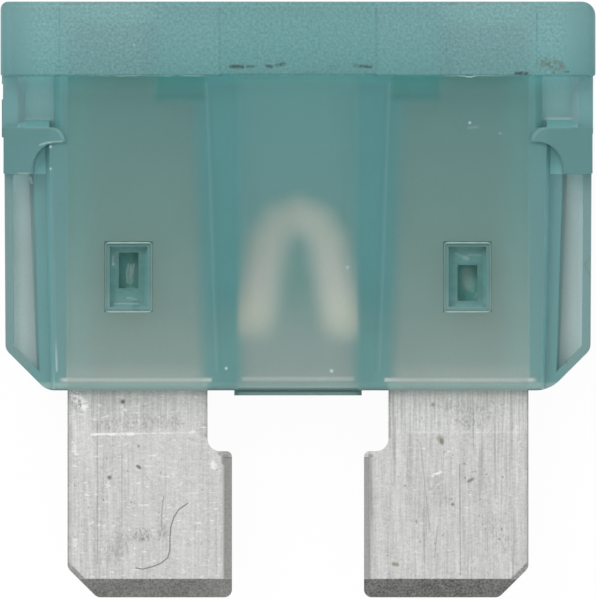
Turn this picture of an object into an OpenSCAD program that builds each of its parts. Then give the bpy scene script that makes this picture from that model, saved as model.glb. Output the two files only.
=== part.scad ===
// Automotive blade fuse, lying on its back.
// X runs across the two blades, Y from the blade tips to the head, and Z up out of the front face.
// The origin is under the middle of the outline, on the plane that the back of the head lies on.
// Inside the modules Y is measured from the underside of the body and Z from the strip's middle plane.

/* [Blades] */
// Gap between the contact parts of the two blades
blade_gap = 4.26; // [3.9:0.02:5]
// Width of each blade where it makes contact
blade_w = 5.3; // [4.9:0.05:5.6]
// Thickness of the strip that the blades are stamped from
blade_t = 0.65; // [0.5:0.05:0.8]
// Length of each blade below the body
blade_l = 6.68; // [5.5:0.02:8]
// How much narrower the neck is than the contact part
shelf_w = 0.79; // [0.5:0.01:1]
// Length of the neck below the body
neck_l = 1.97; // [1.2:0.01:2.6]
// Radius in the hollow corner of the shelf
shelf_hollow_r = 0.4; // [0.1:0.05:0.45]
// Radius on the outer corner of the shelf
shelf_corner_r = 0.18; // [0.05:0.01:0.25]
// Cut-off at the outer corner of each tip
tip_chamfer = 0.95; // [0.6:0.05:1.5]
// Radius where that cut-off meets the edges
tip_chamfer_r = 0.3; // [0.1:0.05:0.4]
// Radius on the inner corner of each tip
tip_corner_r = 0.25; // [0.1:0.05:0.5]
// Height of the thinned lead-in at each tip
lead_in_h = 0.6; // [0.3:0.05:1]
// Thickness left at the very end of each tip
lead_in_t = 0.27; // [0.15:0.01:0.4]
// Width of the pressed edge on the left blade
left_press_w = 0.3; // [0.1:0.01:0.4]
// Width of the pressed edge on the right blade
right_press_w = 0.17; // [0.1:0.01:0.4]
// Depth of the pressed edges on each face
press_depth = 0.13; // [0.05:0.01:0.2]

/* [Test tabs] */
// Width of the tab that each blade sends up into the head
tab_w = 2.86; // [2.2:0.02:3.4]
// Distance from the head's underside down to the foot of the tab
tab_foot = 0.79; // [0.5:0.01:1.5]
// Depth of the tab's end below the top of the head
probe_depth = 0.7; // [0.4:0.05:1]
// Radius on the strip's corners inside the housing
tab_r = 0.12; // [0.05:0.01:0.3]

/* [Fuse element] */
// Thickness that the element is pressed to
element_t = 0.3; // [0.2:0.01:0.4]
// Height of the element's feet above the underside
element_y = 1.7; // [1.2:0.05:2.5]
// Height of the bridges that join the element to the blades
bridge_h = 1.6; // [0.8:0.05:2]
// Height of the element from its feet to its crown
element_h = 4.55; // [3.6:0.05:6]
// Width of each leg at its foot
leg_w = 0.95; // [0.6:0.05:1.1]
// Width across the crown of the arch
crown_w = 1.9; // [1.7:0.05:2.2]
// Radius on the crown
crown_r = 1.15; // [0.6:0.05:1.2]
// Height of metal over the eye of the arch
crown_h = 1; // [0.6:0.05:1.3]
// Width of the eye between the legs, at its top
eye_w = 0.84; // [0.5:0.02:1]
// Radius at the top of the eye
eye_r = 0.38; // [0.1:0.02:0.4]
// Radius on the inner corner of each foot
foot_r = 0.35; // [0.1:0.05:0.45]
// Clear space between the element and the side of its chamber
element_clear = 0.06; // [0.03:0.01:0.2]

/* [Body] */
// Height of the body from its underside to the head
body_h = 10.12; // [9:0.1:12]
// Thickness of the body under the head
body_t = 3.8; // [3.4:0.1:4.2]
// How far each face leans in towards the underside
face_draft = 0.1; // [0:0.01:0.2]
// Radius along the lower edges of the two faces
lower_edge_r = 0.3; // [0.1:0.05:0.4]
// Plastic between each blade and the edge of the face, at the underside
side_wall = 0.37; // [0.25:0.01:0.6]
// How far the edges of the face spread up to the shoulder
side_draft = 0.2; // [0:0.01:0.3]
// Width of the steep side from the face down to the wing
side_slope_w = 0.15; // [0.05:0.01:0.3]
// Plastic between each blade and the edge of the face above the shoulder
upper_wall = 0.19; // [0.15:0.01:0.35]
// Width of the slanted side above the shoulder
upper_slope_w = 0.23; // [0.1:0.01:0.4]
// Height of the raised lip at the middle of the underside
lip_h = 0.16; // [0.1:0.01:0.3]
// Plastic round the sides of the chamber's mouth in that lip
lip_side = 0.12; // [0.1:0.01:0.25]
// Plastic on the faces of the chamber's mouth in that lip
lip_face = 0.35; // [0.15:0.01:0.5]

/* [Wings] */
// Width of the flat strip between that steep side and the web
strip_w = 0.37; // [0.2:0.01:0.5]
// Width of each wing outside its inner strip
wing_w = 0.95; // [0.8:0.01:1.2]
// How far each wing's edge leans in towards the underside
wing_draft = 0.05; // [0:0.01:0.15]
// Cut-off at the lower corner of each wing
wing_chamfer = 1.32; // [1:0.01:1.6]
// Radius at the outer end of that cut-off
wing_upper_r = 0.4; // [0.1:0.05:0.5]
// Radius at the lower end of the left one, seen from the front
left_foot_r = 0.65; // [0.1:0.05:1.2]
// Radius at the lower end of the right one
right_foot_r = 1.1; // [0.1:0.05:1.2]
// Thickness of the rim round each web
rim_t = 2.2; // [1.6:0.1:2.6]
// Width of that rim
rim_w = 0.27; // [0.2:0.01:0.4]
// Thickness of the web inside the rim
web_t = 0.9; // [0.6:0.05:1.2]
// Radius in the corners of the web's recess
web_r = 0.12; // [0.05:0.01:0.2]

/* [Shoulders] */
// Height of each shoulder
shoulder_h = 1.48; // [1.2:0.01:2]
// How far the shoulder stands out of the face
shoulder_proud = 0.15; // [0.05:0.01:0.3]
// Distance from the blade's outer edge in to the point of the shoulder's beak
beak_reach = 0.05; // [0:0.01:0.2]
// Height of the beak
beak_h = 0.46; // [0.3:0.01:0.6]
// Radius on the beak's upper corner
beak_r = 0.44; // [0.2:0.01:0.5]
// Radius of the hollow under the beak
hollow_r = 0.85; // [0.5:0.01:0.95]

/* [Posts] */
// Height of the flat pad between the shoulder's ledge and the head
pad_h = 1.42; // [1.2:0.05:2]
// Height of the sloping ledge from the pad to the shoulder
ledge_h = 0.24; // [0.1:0.01:0.4]
// Thickness of the post at the pad
pad_t = 2.5; // [2:0.1:3]
// Thickness of the post at its rim
post_rim_t = 3.4; // [3.1:0.1:3.7]
// Width of that rim
post_rim_w = 0.47; // [0.3:0.01:0.6]
// Width of the slope from the pad up to the rim
post_slope_w = 0.23; // [0.1:0.01:0.3]
// How far the post stands out beyond the wing
post_proud = 0.02; // [0.02:0.01:0.15]
// How far the flash on the left post stands out of it
flash_proud = 0.06; // [0.02:0.01:0.1]
// Thickness of that flash
flash_t = 0.6; // [0.3:0.1:1.2]
// Length of its long piece, beside the shoulder
flash_l = 1.22; // [0.8:0.02:1.6]
// Length of its short piece, under the head
flash_end_l = 0.24; // [0.1:0.02:0.6]
// Gap between the two
flash_gap = 0.5; // [0.3:0.02:0.8]

/* [Head] */
// Height of the head
head_h = 2.38; // [1.8:0.1:3]
// How far the head stands out of each face of the body
head_proud = 0.65; // [0.4:0.05:0.9]
// How far the head stands out beyond each wing
head_overhang = 0.09; // [0.08:0.01:0.3]
// Radius on the head's upper left corner, seen from the front
head_left_r = 0.26; // [0.1:0.02:0.6]
// Radius on its upper right corner
head_right_r = 0.46; // [0.1:0.02:0.7]
// Radius on its two lower corners
head_foot_r = 0.06; // [0.02:0.01:0.2]
// Radius on the head's upright edges
head_end_r = 0.35; // [0.1:0.05:0.6]
// Radius along the head's upper edges
head_edge_r = 0.2; // [0.1:0.05:0.4]
// Width of the mould's middle insert, which cuts the head's lower edge a little higher
insert_w = 5.02; // [4:0.1:6]
// How much higher it cuts
insert_step = 0.06; // [0.02:0.01:0.15]
// Length of the probe opening over each test tab
probe_w = 3.1; // [2.98:0.02:3.6]
// Width of that opening
probe_t = 1.1; // [0.9:0.05:1.6]

/* [Cavities] */
// Clear space between the strip and its slots
slot_clear = 0.05; // [0.03:0.01:0.1]
// How far each slot's inner side leans out towards its mouth
slot_lean = 0.45; // [0.1:0.01:0.6]
// Front and back wall of the slots at their mouths
slot_wall = 0.9; // [0.7:0.05:1.1]
// Plastic between a slot's top and the element's chamber
rib_t = 0.94; // [0.8:0.01:1.2]
// Front and back wall of the chamber at its mouth
chamber_wall = 0.75; // [0.6:0.05:0.9]
// The same wall at the top of the chamber
chamber_top_wall = 1.15; // [0.9:0.05:1.3]
// How far the chamber reaches up into the head
chamber_rise = 0.4; // [0.1:0.05:1]

/* [Stakes] */
// Distance from a blade's outer edge in to the middle of its stake
stake_inset = 1.98; // [1.8:0.02:2.4]
// Height of the middle of the stakes above the underside
stake_y = 3.66; // [3:0.02:5]
// Width of the pocket that the staking tool leaves
stake_w = 1.55; // [1.3:0.01:1.9]
// Height of that pocket
stake_h = 2.27; // [1.9:0.01:2.8]
// Depth of the pocket's first step
stake_rim_depth = 0.1; // [0.05:0.01:0.2]
// Width of that step
stake_rim_w = 0.17; // [0.1:0.01:0.2]
// Depth of the pocket's floor
stake_depth = 0.38; // [0.25:0.01:0.5]
// How much smaller the hole in the blade is than the pocket, on each side
hole_inset = 0.13; // [0.05:0.01:0.2]
// Clear space between the peg and the edge of the blade's hole
peg_clear = 0.08; // [0.05:0.01:0.15]
// Wall of the peg at the sides of its well
peg_wall = 0.25; // [0.15:0.01:0.3]
// How far off the stake's middle the well is pressed, up on the left and down on the right
well_drift = 0.2; // [0:0.01:0.25]
// Plastic left under the well
peg_floor = 0.45; // [0.3:0.05:0.6]
// Gap between the pegs of the two faces
peg_gap = 0.1; // [0.05:0.01:0.2]

/* [Hidden] */

// Steps in the arc of each rounded corner
arc_steps = 8;
// Overlap of pieces that are fused, and overrun of cuts
lap = 0.2;
// Longer than anything in the fuse
far = 40;

// Edges of a blade, measured out from the middle
blade_in = blade_gap / 2;
blade_out = blade_in + blade_w;
neck_in = blade_in + shelf_w;
tab_in = blade_out - tab_w;

// Half thicknesses of the body, at the head and at the underside
face_z = body_t / 2;
low_face_z = face_z - face_draft;
shoulder_z = face_z + shoulder_proud;
head_t = body_t + 2 * head_proud;

// Half widths of the face, the body and the head
low_edge_x = blade_out + side_wall;
high_edge_x = low_edge_x + side_draft;
upper_edge_x = blade_out + upper_wall;
web_in_x = high_edge_x + side_slope_w + strip_w;
body_x = web_in_x + wing_w;
post_x = body_x + post_proud;
head_x = body_x + head_overhang;

// Heights of the shoulder, measured up from the underside
pad_y = body_h - pad_h;
shoulder_top = pad_y - ledge_h;
shoulder_y = shoulder_top - shoulder_h;
top_y = body_h + head_h;
tab_top = top_y - probe_depth;
tab_foot_y = body_h - tab_foot;
lead_in_y = lead_in_h - blade_l;
middle_y = (top_y - blade_l) / 2;

// The element's chamber and the element in it
chamber_x = neck_in - slot_clear - rib_t;
element_x = chamber_x - element_clear;
bridge_top = element_y + bridge_h;
crown_y = element_y + element_h;

// The stake's hole, peg and well
stake_x = blade_out - stake_inset;
hole_w = stake_w - 2 * hole_inset;
hole_h = stake_h - 2 * hole_inset;
peg_w = hole_w - 2 * peg_clear;
peg_h = hole_h - 2 * peg_clear;

function unit(v) = v / norm(v);

function turned(p, angle) = [p.x * cos(angle) - p.y * sin(angle), p.x * sin(angle) + p.y * cos(angle)];

// Points of the arc of radius r that rounds corner b on the way from a to c
function corner_arc(a, b, c, r) =
    let (
        u = unit(a - b),
        v = unit(c - b),
        half = acos(u * v) / 2,
        centre = b + unit(u + v) * r / sin(half),
        start = b + u * r / tan(half) - centre,
        stop = b + v * r / tan(half) - centre,
        turn = (180 - 2 * half) * sign(cross(start, stop))
    )
    [for (i = [0 : arc_steps]) centre + turned(start, turn * i / arc_steps)];

// Closed outline through corners [x, y, radius], where a radius of 0 leaves the corner sharp
function outline(corners) =
    let (
        count = len(corners),
        points = [for (c = corners) [c.x, c.y]]
    )
    [for (i = [0 : count - 1])
        each (corners[i].z > 0
            ? corner_arc(points[(i + count - 1) % count], points[i], points[(i + 1) % count], corners[i].z)
            : [points[i]])];

// Rectangle between two corners with one radius all round
function rectangle(x0, y0, x1, y1, r) = [[x0, y0, r], [x1, y0, r], [x1, y1, r], [x0, y1, r]];

// A plan in X and Y, carried through the thickness t
module plate(corners, t) {
    linear_extrude(t, center = true) polygon(outline(corners));
}

// A profile in Y and Z, carried across X from -half to half
module across(corners, half) {
    rotate([90, 0, 90]) linear_extrude(2 * half, center = true) polygon(outline(corners));
}

// A section in X and Z, carried along Y from y0 to y1
module along(corners, y0, y1) {
    translate([0, y1, 0]) rotate([90, 0, 0]) linear_extrude(y1 - y0) polygon(outline(corners));
}

module both_sides() {
    children();
    mirror([1, 0, 0]) children();
}

module both_faces() {
    children();
    mirror([0, 0, 1]) children();
}

module in_frame() {
    translate([0, -middle_y, head_t / 2]) children();
}

// Bar that carries the rating, with rounded upper edges and ends
module head() {
    difference() {
        intersection() {
            plate([
                [-head_x, body_h, head_foot_r],
                [head_x, body_h, head_foot_r],
                [head_x, top_y, head_right_r],
                [-head_x, top_y, head_left_r]
            ], head_t);
            along(rectangle(-head_x, -head_t / 2, head_x, head_t / 2, head_end_r), body_h, top_y);
            across([
                [body_h, -head_t / 2, head_foot_r],
                [top_y, -head_t / 2, head_edge_r],
                [top_y, head_t / 2, head_edge_r],
                [body_h, head_t / 2, head_foot_r]
            ], head_x);
        }
        translate([0, body_h, 0]) cube([insert_w, 2 * insert_step, far], center = true);
    }
}

// Slab of the body with its leaning faces and rounded lower edges
module slab(half) {
    across([
        [0, -low_face_z, lower_edge_r],
        [body_h + lap, -face_z, 0],
        [body_h + lap, face_z, 0],
        [0, low_face_z, lower_edge_r]
    ], half);
}

// Outside of a slanted side that starts at the face's edge, x out, and leans out to depth below it
module side_cut(x, lean, slope_w, depth) {
    both_sides() both_faces()
        translate([x, 0, face_z])
            rotate([0, -atan(slope_w / depth), -lean])
                translate([0, -far, -far]) cube([far, 2 * far, 2 * far]);
}

// The part of the body that the face covers, up to the shoulder and above it
module core() {
    difference() {
        slab(body_x);
        side_cut(low_edge_x, atan(side_draft / shoulder_top), side_slope_w, face_z - rim_t / 2);
        translate([0, shoulder_top + far / 2, 0]) cube([far, far, far], center = true);
    }
    difference() {
        slab(body_x);
        side_cut(upper_edge_x, 0, upper_slope_w, face_z - pad_t / 2);
        translate([0, shoulder_top - lap - far / 2, 0]) cube([far, far, far], center = true);
    }
}

// Outline of the body below the shoulders' tops, with its cut-off corners
function body_corners(top) =
    let (low_x = body_x - wing_draft)
    [
        [wing_chamfer - low_x, 0, left_foot_r],
        [low_x - wing_chamfer, 0, right_foot_r],
        [low_x, wing_chamfer, wing_upper_r],
        [body_x, top, 0],
        [-body_x, top, 0],
        [-low_x, wing_chamfer, wing_upper_r]
    ];

// Recess that leaves the thin web of the right wing, on the front
module web_recess() {
    low_x = body_x - wing_draft - rim_w;
    corner = wing_chamfer + rim_w * tan(22.5);
    inner = web_in_x - side_draft;
    translate([0, 0, web_t / 2])
        linear_extrude(far)
            polygon(outline([
                [inner, corner - (low_x - inner), 0],
                [low_x, corner, web_r],
                [body_x - rim_w, shoulder_y, web_r],
                [web_in_x, shoulder_y, 0]
            ]));
}

// Both wings: a plate as thick as the rim, thinned to the webs
module wings() {
    difference() {
        plate(body_corners(shoulder_top), rim_t);
        both_sides() both_faces() web_recess();
    }
}

// Right shoulder, with the beak that runs in over the face
module shoulder() {
    beak_x = blade_out + beak_reach;
    plate([
        [body_x, shoulder_y, 0],
        [body_x, shoulder_top, 0],
        [beak_x, shoulder_top, beak_r],
        [beak_x, shoulder_top - beak_h, 0],
        [web_in_x, shoulder_top - beak_h, min(hollow_r, web_in_x - beak_x - lap)],
        [web_in_x, shoulder_y, 0]
    ], 2 * shoulder_z);
}

// Sloping ledge from the right pad up to the shoulder
module ledge() {
    translate([(high_edge_x + post_x - post_rim_w) / 2, 0, 0])
        across([
            [shoulder_top - lap, -shoulder_z, 0],
            [shoulder_top, -shoulder_z, 0],
            [pad_y, -pad_t / 2, 0],
            [pad_y, pad_t / 2, 0],
            [shoulder_top, shoulder_z, 0],
            [shoulder_top - lap, shoulder_z, 0]
        ], (post_x - post_rim_w - high_edge_x) / 2);
}

// Right post between the shoulder and the head, with its pad and rim
module post() {
    rim_x = post_x - post_rim_w;
    along([
        [blade_out, -pad_t / 2, 0],
        [rim_x - post_slope_w, -pad_t / 2, 0],
        [rim_x, -post_rim_t / 2, 0],
        [post_x, -post_rim_t / 2, 0],
        [post_x, post_rim_t / 2, 0],
        [rim_x, post_rim_t / 2, 0],
        [rim_x - post_slope_w, pad_t / 2, 0],
        [blade_out, pad_t / 2, 0]
    ], shoulder_top - lap, body_h + lap);
}

// Flash where the mould parts, on the left post
module flash() {
    depth = lap + flash_proud;
    translate([-post_x - flash_proud, body_h - flash_end_l, -flash_t / 2])
        cube([depth, flash_end_l + lap, flash_t]);
    translate([-post_x - flash_proud, body_h - flash_end_l - flash_gap - flash_l, -flash_t / 2])
        cube([depth, flash_l, flash_t]);
}

// Raised lip round the mouth of the chamber
module lip() {
    half_w = chamber_x + lip_side;
    half_t = low_face_z - chamber_wall + lip_face;
    translate([-half_w, -lip_h, -half_t]) cube([2 * half_w, lip_h + lower_edge_r, 2 * half_t]);
}

// Slot for the right blade, wider at its mouth, with the tab's slot up through the head
module blade_slot() {
    out_x = blade_out + slot_clear;
    in_x = neck_in - slot_clear;
    slot_top = tab_foot_y + slot_clear;
    slot_z = blade_t / 2 + slot_clear;
    mouth_z = low_face_z - slot_wall;
    intersection() {
        plate([[in_x - slot_lean, 0, 0], [out_x, 0, 0], [out_x, slot_top, 0], [in_x, slot_top, 0]], far);
        across([[0, -mouth_z, 0], [slot_top, -slot_z, 0], [slot_top, slot_z, 0], [0, mouth_z, 0]], far);
    }
    translate([tab_in - slot_clear, slot_top - lap, -slot_z])
        cube([tab_w + 2 * slot_clear, far, 2 * slot_z]);
    translate([blade_out - tab_w / 2 - probe_w / 2, tab_top, -probe_t / 2])
        cube([probe_w, far, probe_t]);
}

// Chamber of the element, wider at its mouth, and the slits by which the bridges pass the ribs
module chamber() {
    mouth_z = low_face_z - chamber_wall;
    top_z = face_z - chamber_top_wall;
    chamber_top = body_h + chamber_rise;
    slit_z = blade_t / 2 + slot_clear;
    slit_top = bridge_top + slot_clear;
    across([[0, -mouth_z, 0], [chamber_top, -top_z, 0], [chamber_top, top_z, 0], [0, mouth_z, 0]], chamber_x);
    translate([-chamber_x, -far / 2, -mouth_z]) cube([2 * chamber_x, far / 2, 2 * mouth_z]);
    translate([-neck_in, -far / 2, -slit_z]) cube([2 * neck_in, far / 2 + slit_top, 2 * slit_z]);
}

// Block centred on the right stake, from depth z0 to z1 in front of the middle plane
module stake_block(w, h, z0, z1) {
    translate([stake_x - w / 2, stake_y - h / 2, z0]) cube([w, h, z1 - z0]);
}

// Peg pressed out of the front wall into the right blade's hole
module peg() {
    stake_block(peg_w, peg_h, peg_gap / 2, low_face_z - stake_depth);
}

// Stepped pocket in the front face over the right peg, with its well that much above the middle
module stake_pocket(well_rise) {
    stake_block(stake_w, stake_h, face_z - face_draft / 2 - stake_rim_depth, far);
    stake_block(stake_w - 2 * stake_rim_w, stake_h - 2 * stake_rim_w, low_face_z - stake_depth, far);
    translate([0, well_rise, 0])
        stake_block(peg_w - 2 * peg_wall, peg_h - 2 * peg_wall - well_drift, peg_gap / 2 + peg_floor, far);
}

// Moulded in one piece, and staked through the blades once the strip is in
module housing() {
    color([0.42, 0.6, 0.6])
        in_frame()
            difference() {
                union() {
                    difference() {
                        union() {
                            head();
                            intersection() {
                                union() {
                                    core();
                                    wings();
                                }
                                plate(body_corners(body_h + lap), far);
                            }
                            both_sides() {
                                shoulder();
                                ledge();
                                post();
                            }
                            flash();
                            lip();
                        }
                        both_sides() blade_slot();
                        chamber();
                    }
                    both_sides() both_faces() peg();
                }
                both_faces() {
                    stake_pocket(-well_drift);
                    mirror([1, 0, 0]) stake_pocket(well_drift);
                }
            }
}

// Plan of the right blade, from its tip to the end of its test tab
function blade_corners() = [
    [blade_out - tip_chamfer, -blade_l, tip_chamfer_r],
    [blade_out, tip_chamfer - blade_l, tip_chamfer_r],
    [blade_out, tab_top, tab_r],
    [tab_in, tab_top, tab_r],
    [tab_in, tab_foot_y, min(tab_r, slot_clear)],
    [neck_in, tab_foot_y, tab_r],
    [neck_in, -neck_l, shelf_hollow_r],
    [blade_in, -neck_l, shelf_corner_r],
    [blade_in, -blade_l, tip_corner_r]
];

// Right blade with its lead-in, its stake hole and a pressed inner edge press_w wide
module blade(press_w) {
    end_z = blade_t / 2;
    difference() {
        intersection() {
            plate(blade_corners(), blade_t);
            across([
                [-blade_l, -lead_in_t / 2, 0],
                [lead_in_y, -end_z, 0],
                [tab_top, -end_z, 0],
                [tab_top, end_z, 0],
                [lead_in_y, end_z, 0],
                [-blade_l, lead_in_t / 2, 0]
            ], far);
        }
        both_faces()
            along([
                [blade_in - lap, end_z + lap, 0],
                [blade_in - lap, end_z - press_depth * (1 + lap / press_w), 0],
                [blade_in + press_w, end_z, 0],
                [blade_in + press_w, end_z + lap, 0]
            ], -blade_l - lap, -neck_l - shelf_corner_r);
        stake_block(hole_w, hole_h, -far, far);
    }
}

// Arched link that melts, with a bridge from each foot to its blade
module element() {
    eye_y = crown_y - crown_h;
    foot_x = element_x - leg_w;
    plate([
        [neck_in + lap, element_y, 0],
        [neck_in + lap, bridge_top, 0],
        [element_x, bridge_top, 0],
        [crown_w / 2, crown_y, crown_r],
        [-crown_w / 2, crown_y, crown_r],
        [-element_x, bridge_top, 0],
        [-neck_in - lap, bridge_top, 0],
        [-neck_in - lap, element_y, 0],
        [-foot_x, element_y, foot_r],
        [-eye_w / 2, eye_y, eye_r],
        [eye_w / 2, eye_y, eye_r],
        [foot_x, element_y, foot_r]
    ], element_t);
}

// Stamped in one piece: two blades, their test tabs and the element
module fuse_strip() {
    color([0.78, 0.79, 0.78])
        in_frame() {
            blade(right_press_w);
            mirror([1, 0, 0]) blade(left_press_w);
            element();
        }
}

housing();
fuse_strip();
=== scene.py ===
"""Looks of an automotive blade fuse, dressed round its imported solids.

The fuse lies on its back on a white floor and the camera looks straight down on it. The frame is in metres:
X runs across the blades, Y from their tips to the head, and Z up out of the front face. The finishes think in
millimetres: x across from the middle, h up from the underside of the body, and z out of the strip's middle.
Side is x without its sign and depth is z without its sign. A name that ends in x, h or depth is such a place.
"""

import logging
from dataclasses import dataclass, field
from enum import Enum
from typing import Any, Union

import bpy
import numpy as np
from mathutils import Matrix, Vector


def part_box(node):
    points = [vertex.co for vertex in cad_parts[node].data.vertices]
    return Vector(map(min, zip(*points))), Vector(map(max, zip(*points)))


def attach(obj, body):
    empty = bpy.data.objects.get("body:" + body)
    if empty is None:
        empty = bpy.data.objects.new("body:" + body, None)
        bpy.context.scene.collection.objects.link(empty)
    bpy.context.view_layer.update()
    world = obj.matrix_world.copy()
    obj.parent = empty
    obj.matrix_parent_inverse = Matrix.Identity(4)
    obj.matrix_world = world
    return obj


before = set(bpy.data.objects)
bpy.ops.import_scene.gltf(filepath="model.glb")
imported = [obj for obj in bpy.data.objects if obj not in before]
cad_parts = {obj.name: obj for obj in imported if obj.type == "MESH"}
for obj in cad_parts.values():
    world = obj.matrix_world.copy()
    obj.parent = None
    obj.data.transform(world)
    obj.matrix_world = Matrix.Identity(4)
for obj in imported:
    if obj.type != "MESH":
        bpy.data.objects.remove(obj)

MM = 0.001
LOG = logging.getLogger("blade_fuse")

Colour = tuple[float, float, float]
Point = tuple[float, float]
Stops = tuple[tuple[float, Colour], ...]
Number = Union["Value", float]
Socket = bpy.types.NodeSocket


class Finish(Enum):
    """The record's material slots, by their names there."""

    PLASTIC = "tinted_plastic"
    ZINC = "zinc_strip"


@dataclass(frozen=True)
class Stroke:
    """A drawn line through points in millimetres, or a dot where there is one point."""

    points: tuple[Point, ...]
    width: float
    strength: float


@dataclass(frozen=True)
class Arc:
    """A drawn arc on both halves of the fuse, by its centre and radius in millimetres."""

    side: float
    h: float
    radius: float


@dataclass(frozen=True)
class Grain:
    """Noise with its own bumps in each millimetre across and along, read at z moved by a shift."""

    across: float
    along: float
    shift: float = 0.0
    detail: float = 2.0
    rough: float = 0.6


class Value:
    """A number that varies over a surface. Arithmetic on it adds Math nodes to its graph."""

    def __init__(self, graph: "Graph", socket: Socket) -> None:
        """Wraps a socket.

        Args:
            graph: the graph that the socket's node is in.
            socket: the output that gives the number.
        """
        self.graph = graph
        self.socket = socket

    def math(self, operation: str, *values: Number) -> "Value":
        """Adds one Math node.

        Args:
            operation: the Math node's operation.
            values: its inputs, in order.

        Returns:
            The node's result.
        """
        node = self.graph.node("ShaderNodeMath", {"operation": operation}, dict(enumerate(values)))
        return Value(self.graph, node.outputs[0])

    def __add__(self, other: Number) -> "Value":
        """Sum."""
        return self.math("ADD", self, other)

    def __radd__(self, other: float) -> "Value":
        """Sum with a plain number on the left."""
        return self.math("ADD", other, self)

    def __sub__(self, other: Number) -> "Value":
        """Difference."""
        return self.math("SUBTRACT", self, other)

    def __rsub__(self, other: float) -> "Value":
        """Difference with a plain number on the left."""
        return self.math("SUBTRACT", other, self)

    def __mul__(self, other: Number) -> "Value":
        """Product."""
        return self.math("MULTIPLY", self, other)

    def __rmul__(self, other: float) -> "Value":
        """Product with a plain number on the left."""
        return self.math("MULTIPLY", other, self)

    def __abs__(self) -> "Value":
        """Size without sign."""
        return self.math("ABSOLUTE", self)

    def most(self, other: Number) -> "Value":
        """The larger of two numbers."""
        return self.math("MAXIMUM", self, other)

    def least(self, other: Number) -> "Value":
        """The smaller of two numbers."""
        return self.math("MINIMUM", self, other)

    def clamped(self) -> "Value":
        """The number held between 0 and 1."""
        return self.math("MINIMUM", self.math("MAXIMUM", self, 0.0), 1.0)

    def rise(self, low: float, high: float) -> "Value":
        """Smooth step from 0 to 1.

        Args:
            low: where it leaves 0.
            high: where it reaches 1. It may be below low, and the step then falls.

        Returns:
            The step.
        """
        inputs = {"Value": self, "From Min": low, "From Max": high, "To Min": 0.0, "To Max": 1.0}
        node = self.graph.node("ShaderNodeMapRange", {"interpolation_type": "SMOOTHSTEP"}, inputs)
        return Value(self.graph, node.outputs[0])

    def band(self, low: float, high: float, soft: float) -> "Value":
        """1 between two numbers and 0 outside them.

        Args:
            low: lower edge.
            high: upper edge.
            soft: width of the soft step, centred on each edge.

        Returns:
            The mask.
        """
        up = self.rise(low - soft / 2, low + soft / 2)
        down = self.rise(high + soft / 2, high - soft / 2)
        return up * down

    def near(self, place: Number, edge: float, full: float) -> "Value":
        """Mask of a line where the number is close to a place.

        Args:
            place: the middle of the line.
            edge: how far from it the line ends.
            full: how far from it the line is full.

        Returns:
            The mask.
        """
        return abs(self - place).rise(edge, full)

    def shift(self, target: Number, mask: Number) -> "Value":
        """Moves the number to a target where a mask is 1."""
        return self + (target - self) * mask


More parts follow.
